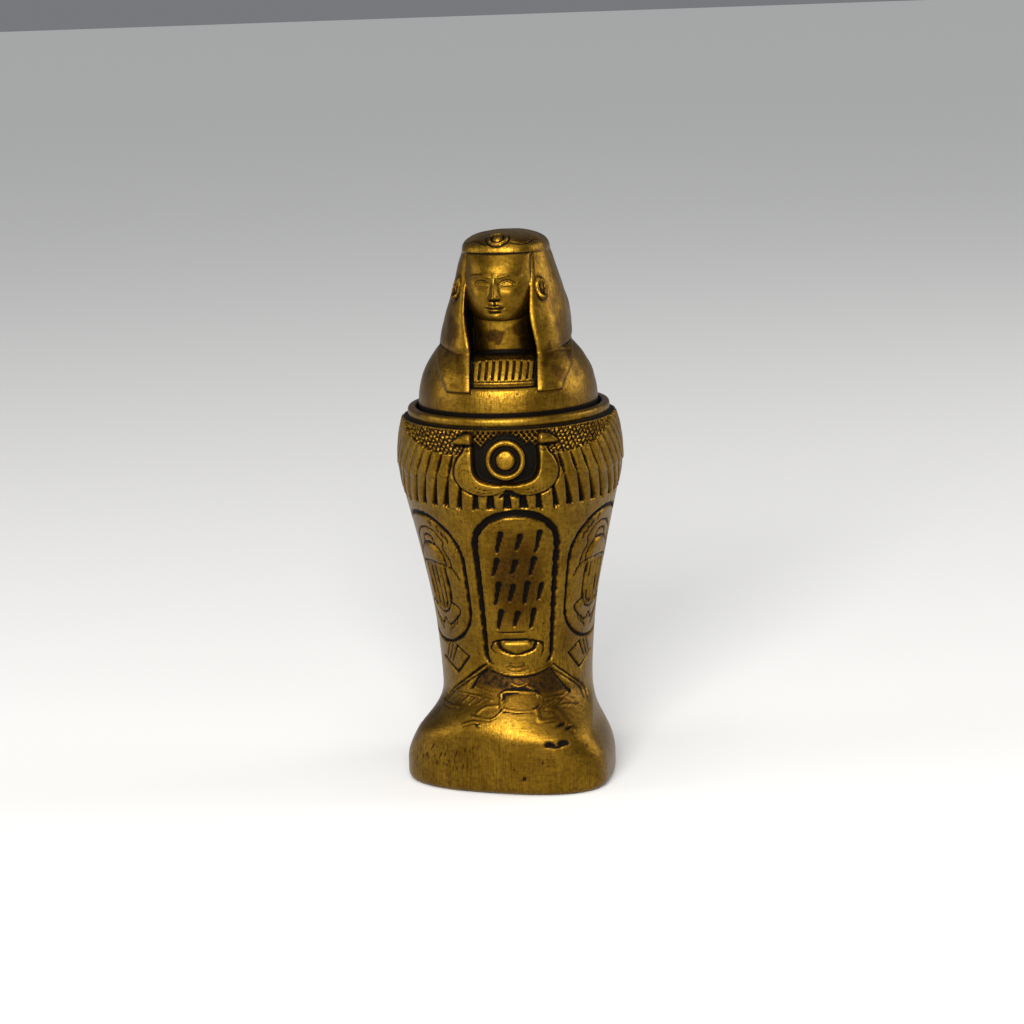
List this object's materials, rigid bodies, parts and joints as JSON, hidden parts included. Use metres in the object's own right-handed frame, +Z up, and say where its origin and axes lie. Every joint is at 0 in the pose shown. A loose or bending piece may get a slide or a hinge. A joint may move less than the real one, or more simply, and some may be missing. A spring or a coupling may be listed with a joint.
{
  "type": "canopic jar",
  "caption": "Small metal canopic jar on a foot block, carved with a winged disc and framed panels, with a lift-off head-shaped lid.",
  "frame": {"origin": "on the jar's axis at its underside", "axes": "+Z up along the jar's axis, -Y towards the front with the face and the foot, +X to the viewer's right"},
  "size_m": [0.0328, 0.0331, 0.0802],
  "materials": {
    "antique_brass": "antiqued cast brass, worn bright on the raised parts, with near-black patina in the recesses"
  },
  "bodies": {
    "root": {"jar": "antique_brass", "lid": "antique_brass"}
  },
  "joints": []
}
